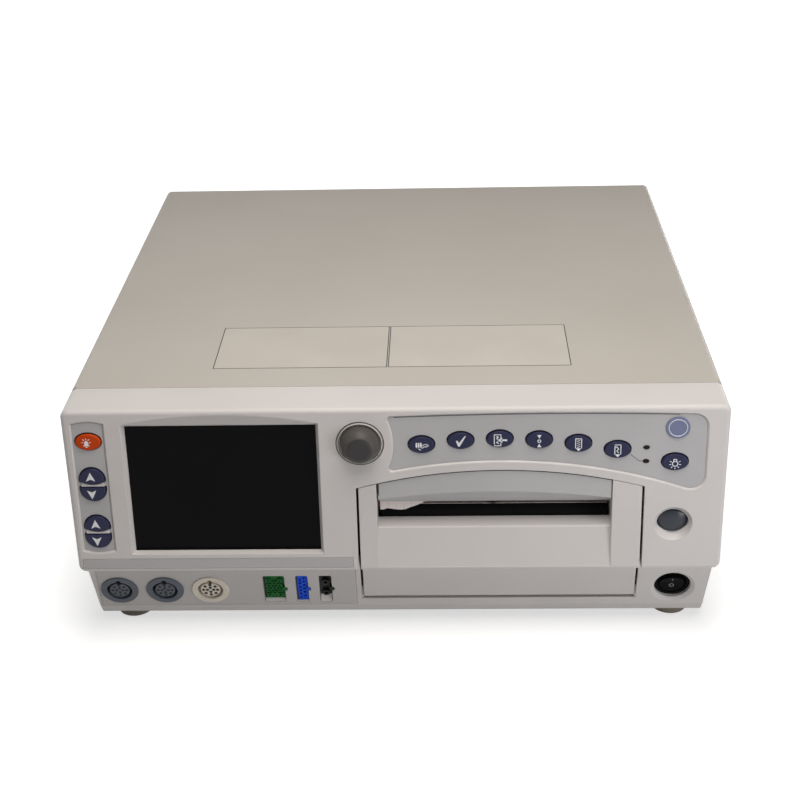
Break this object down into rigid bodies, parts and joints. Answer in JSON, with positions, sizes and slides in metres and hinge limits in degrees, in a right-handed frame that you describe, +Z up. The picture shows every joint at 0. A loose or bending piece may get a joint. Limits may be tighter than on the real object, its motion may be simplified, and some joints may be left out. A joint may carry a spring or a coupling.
{
  "type": "fetal monitor",
  "caption": "Desktop fetal and maternal monitor with a dark screen, oval keys, a trim knob, a tip-down strip-chart recorder door, tilted sensor sockets and a rocker power switch.",
  "frame": {"origin": "on the table, under the middle of the bounding box", "axes": "+X to the right as seen from the front, +Y to the back, +Z up; the screen faces -Y"},
  "size_m": [0.429, 0.446, 0.18],
  "materials": {
    "bezel_plastic": "fine satin texture",
    "visor_plastic": "fine satin texture",
    "cover_paint": "fine textured paint",
    "base_metal": "textured paint",
    "foot_rubber": "matt",
    "platen_rubber": "matt",
    "steel": "bright",
    "frame_steel": "zinc plated",
    "screen": "smoked, glossy",
    "black_plastic": "satin",
    "panel_film": "matt film",
    "key_navy": "satin",
    "key_orange": "satin",
    "lamp": "clear lens",
    "badge": "glossy",
    "knob": "satin",
    "collar": "satin",
    "circuit_board": "solder mask",
    "gear_plastic": "moulded",
    "motor_metal": "plated",
    "aluminium": "satin",
    "paper": "paper stands in as a plain sheet",
    "latch_plastic": "satin",
    "socket_slate": "satin",
    "socket_cream": "satin",
    "socket_green": "satin",
    "socket_blue": "satin",
    "plated_brass": "nickel plated",
    "speaker_metal": "matt"
  },
  "bodies": {
    "chassis": {"base_pan": "base_metal", "chart_paper": "paper", "connector_panel": "panel_film", "display_module": "black_plastic", "display_window": "screen", "ecg_socket": "socket_green", "front_bezel": "bezel_plastic", "function_key_panel": "panel_film", "ground_post": "plated_brass", "housing_screws": "steel", "key_boards": "circuit_board", "knob_collar": "collar", "knob_encoder": "black_plastic", "main_board": "circuit_board", "mains_inlet": "black_plastic", "oximetry_socket": "socket_blue", "pivot_pins": "steel", "power_supply": "aluminium", "power_switch_housing": "black_plastic", "pressure_pump": "black_plastic", "pressure_socket": "black_plastic", "print_head": "aluminium", "print_head_bar": "aluminium", "rear_data_sockets": "steel", "rear_panel": "base_metal", "recorder_frame": "frame_steel", "recorder_visor": "visor_plastic", "round_badge": "badge", "rubber_feet": "foot_rubber", "speaker": "speaker_metal", "status_lights": "lamp", "stepper_motor": "motor_metal", "top_cover": "cover_paint", "ultrasound_sockets": "socket_slate", "uterine_socket": "socket_cream", "volume_key_panel": "panel_film"},
    "door": {"recorder_door": "bezel_plastic"},
    "platen": {"platen_shaft": "steel", "platen_roller": "platen_rubber", "platen_gear": "gear_plastic"},
    "idler": {"idler_gear": "gear_plastic"},
    "pinion": {"motor_pinion": "gear_plastic"},
    "encoder": {"encoder_rotor": "gear_plastic"},
    "knob": {"trim_knob": "knob"},
    "latch_press": {"latch_button": "latch_plastic"},
    "latch_swing": {"latch_lever": "latch_plastic"},
    "rocker": {"power_switch_rocker": "black_plastic"},
    "pressure_key": {"pressure_key": "key_navy"},
    "test_key": {"test_key": "key_navy"},
    "mark_key": {"mark_key": "key_navy"},
    "reference_key": {"reference_key": "key_navy"},
    "paper_advance_key": {"paper_advance_key": "key_navy"},
    "record_key": {"record_key": "key_navy"},
    "light_key": {"light_key": "key_navy"},
    "alarm_silence_key": {"alarm_silence_key": "key_orange"},
    "volume_1_up_key": {"volume_1_up_key": "key_navy"},
    "volume_1_down_key": {"volume_1_down_key": "key_navy"},
    "volume_2_up_key": {"volume_2_up_key": "key_navy"},
    "volume_2_down_key": {"volume_2_down_key": "key_navy"}
  },
  "joints": [
    {"name": "door_tip", "type": "hinge", "parent": "chassis", "child": "door", "pos_m": [0, -0.18634, 0.0278], "axis": [1, 0, 0], "range_deg": [0, 50]},
    {"name": "platen_turn", "type": "hinge", "parent": "door", "child": "platen", "pos_m": [0, -0.1905, 0.093], "axis": [1, 0, 0], "continuous": true},
    {"name": "idler_turn", "type": "hinge", "parent": "chassis", "child": "idler", "pos_m": [0, -0.16345, 0.09473], "axis": [1, 0, 0], "continuous": true},
    {"name": "pinion_turn", "type": "hinge", "parent": "chassis", "child": "pinion", "pos_m": [0, -0.15046, 0.0781], "axis": [1, 0, 0], "continuous": true},
    {"name": "knob_turn", "type": "hinge", "parent": "chassis", "child": "encoder", "pos_m": [-0.022, -0.2125, 0.1551], "axis": [0, 1, 0], "continuous": true},
    {"name": "knob_press", "type": "slide", "parent": "encoder", "child": "knob", "axis": [0, 1, 0], "range_m": [0, 0.0008], "stiffness_N_per_m": 1500, "springref_m": -0.001},
    {"name": "pressure_press", "type": "slide", "parent": "chassis", "child": "pressure_key", "axis": [0, 1, 0], "range_m": [0, 0.001], "stiffness_N_per_m": 600, "springref_m": -0.001},
    {"name": "test_press", "type": "slide", "parent": "chassis", "child": "test_key", "axis": [0, 1, 0], "range_m": [0, 0.001], "stiffness_N_per_m": 600, "springref_m": -0.001},
    {"name": "mark_press", "type": "slide", "parent": "chassis", "child": "mark_key", "axis": [0, 1, 0], "range_m": [0, 0.001], "stiffness_N_per_m": 600, "springref_m": -0.001},
    {"name": "reference_press", "type": "slide", "parent": "chassis", "child": "reference_key", "axis": [0, 1, 0], "range_m": [0, 0.001], "stiffness_N_per_m": 600, "springref_m": -0.001},
    {"name": "paper_advance_press", "type": "slide", "parent": "chassis", "child": "paper_advance_key", "axis": [0, 1, 0], "range_m": [0, 0.001], "stiffness_N_per_m": 600, "springref_m": -0.001},
    {"name": "record_press", "type": "slide", "parent": "chassis", "child": "record_key", "axis": [0, 1, 0], "range_m": [0, 0.001], "stiffness_N_per_m": 600, "springref_m": -0.001},
    {"name": "light_press", "type": "slide", "parent": "chassis", "child": "light_key", "axis": [0, 1, 0], "range_m": [0, 0.001], "stiffness_N_per_m": 600, "springref_m": -0.001},
    {"name": "alarm_silence_press", "type": "slide", "parent": "chassis", "child": "alarm_silence_key", "axis": [0, 1, 0], "range_m": [0, 0.001], "stiffness_N_per_m": 600, "springref_m": -0.001},
    {"name": "volume_1_up_press", "type": "slide", "parent": "chassis", "child": "volume_1_up_key", "axis": [0, 1, 0], "range_m": [0, 0.001], "stiffness_N_per_m": 600, "springref_m": -0.001},
    {"name": "volume_1_down_press", "type": "slide", "parent": "chassis", "child": "volume_1_down_key", "axis": [0, 1, 0], "range_m": [0, 0.001], "stiffness_N_per_m": 600, "springref_m": -0.001},
    {"name": "volume_2_up_press", "type": "slide", "parent": "chassis", "child": "volume_2_up_key", "axis": [0, 1, 0], "range_m": [0, 0.001], "stiffness_N_per_m": 600, "springref_m": -0.001},
    {"name": "volume_2_down_press", "type": "slide", "parent": "chassis", "child": "volume_2_down_key", "axis": [0, 1, 0], "range_m": [0, 0.001], "stiffness_N_per_m": 600, "springref_m": -0.001},
    {"name": "latch_press", "type": "slide", "parent": "chassis", "child": "latch_press", "axis": [0, 1, 0], "range_m": [0, 0.003], "stiffness_N_per_m": 500, "springref_m": -0.002},
    {"name": "latch_swing", "type": "hinge", "parent": "chassis", "child": "latch_swing", "pos_m": [0.166, -0.191, 0.094], "axis": [0, 0, 1], "range_deg": [0, 17.2]},
    {"name": "power_rock", "type": "hinge", "parent": "chassis", "child": "rocker", "pos_m": [0.186, -0.18386, 0.03485], "axis": [-1, 0, 0], "range_deg": [0, 18]}
  ],
  "couplings": [
    {"joint": "idler_turn", "follows": "platen_turn", "ratio": -0.8},
    {"joint": "pinion_turn", "follows": "platen_turn", "ratio": 2},
    {"joint": "latch_swing", "follows": "latch_press", "rad_per_m": 100}
  ]
}
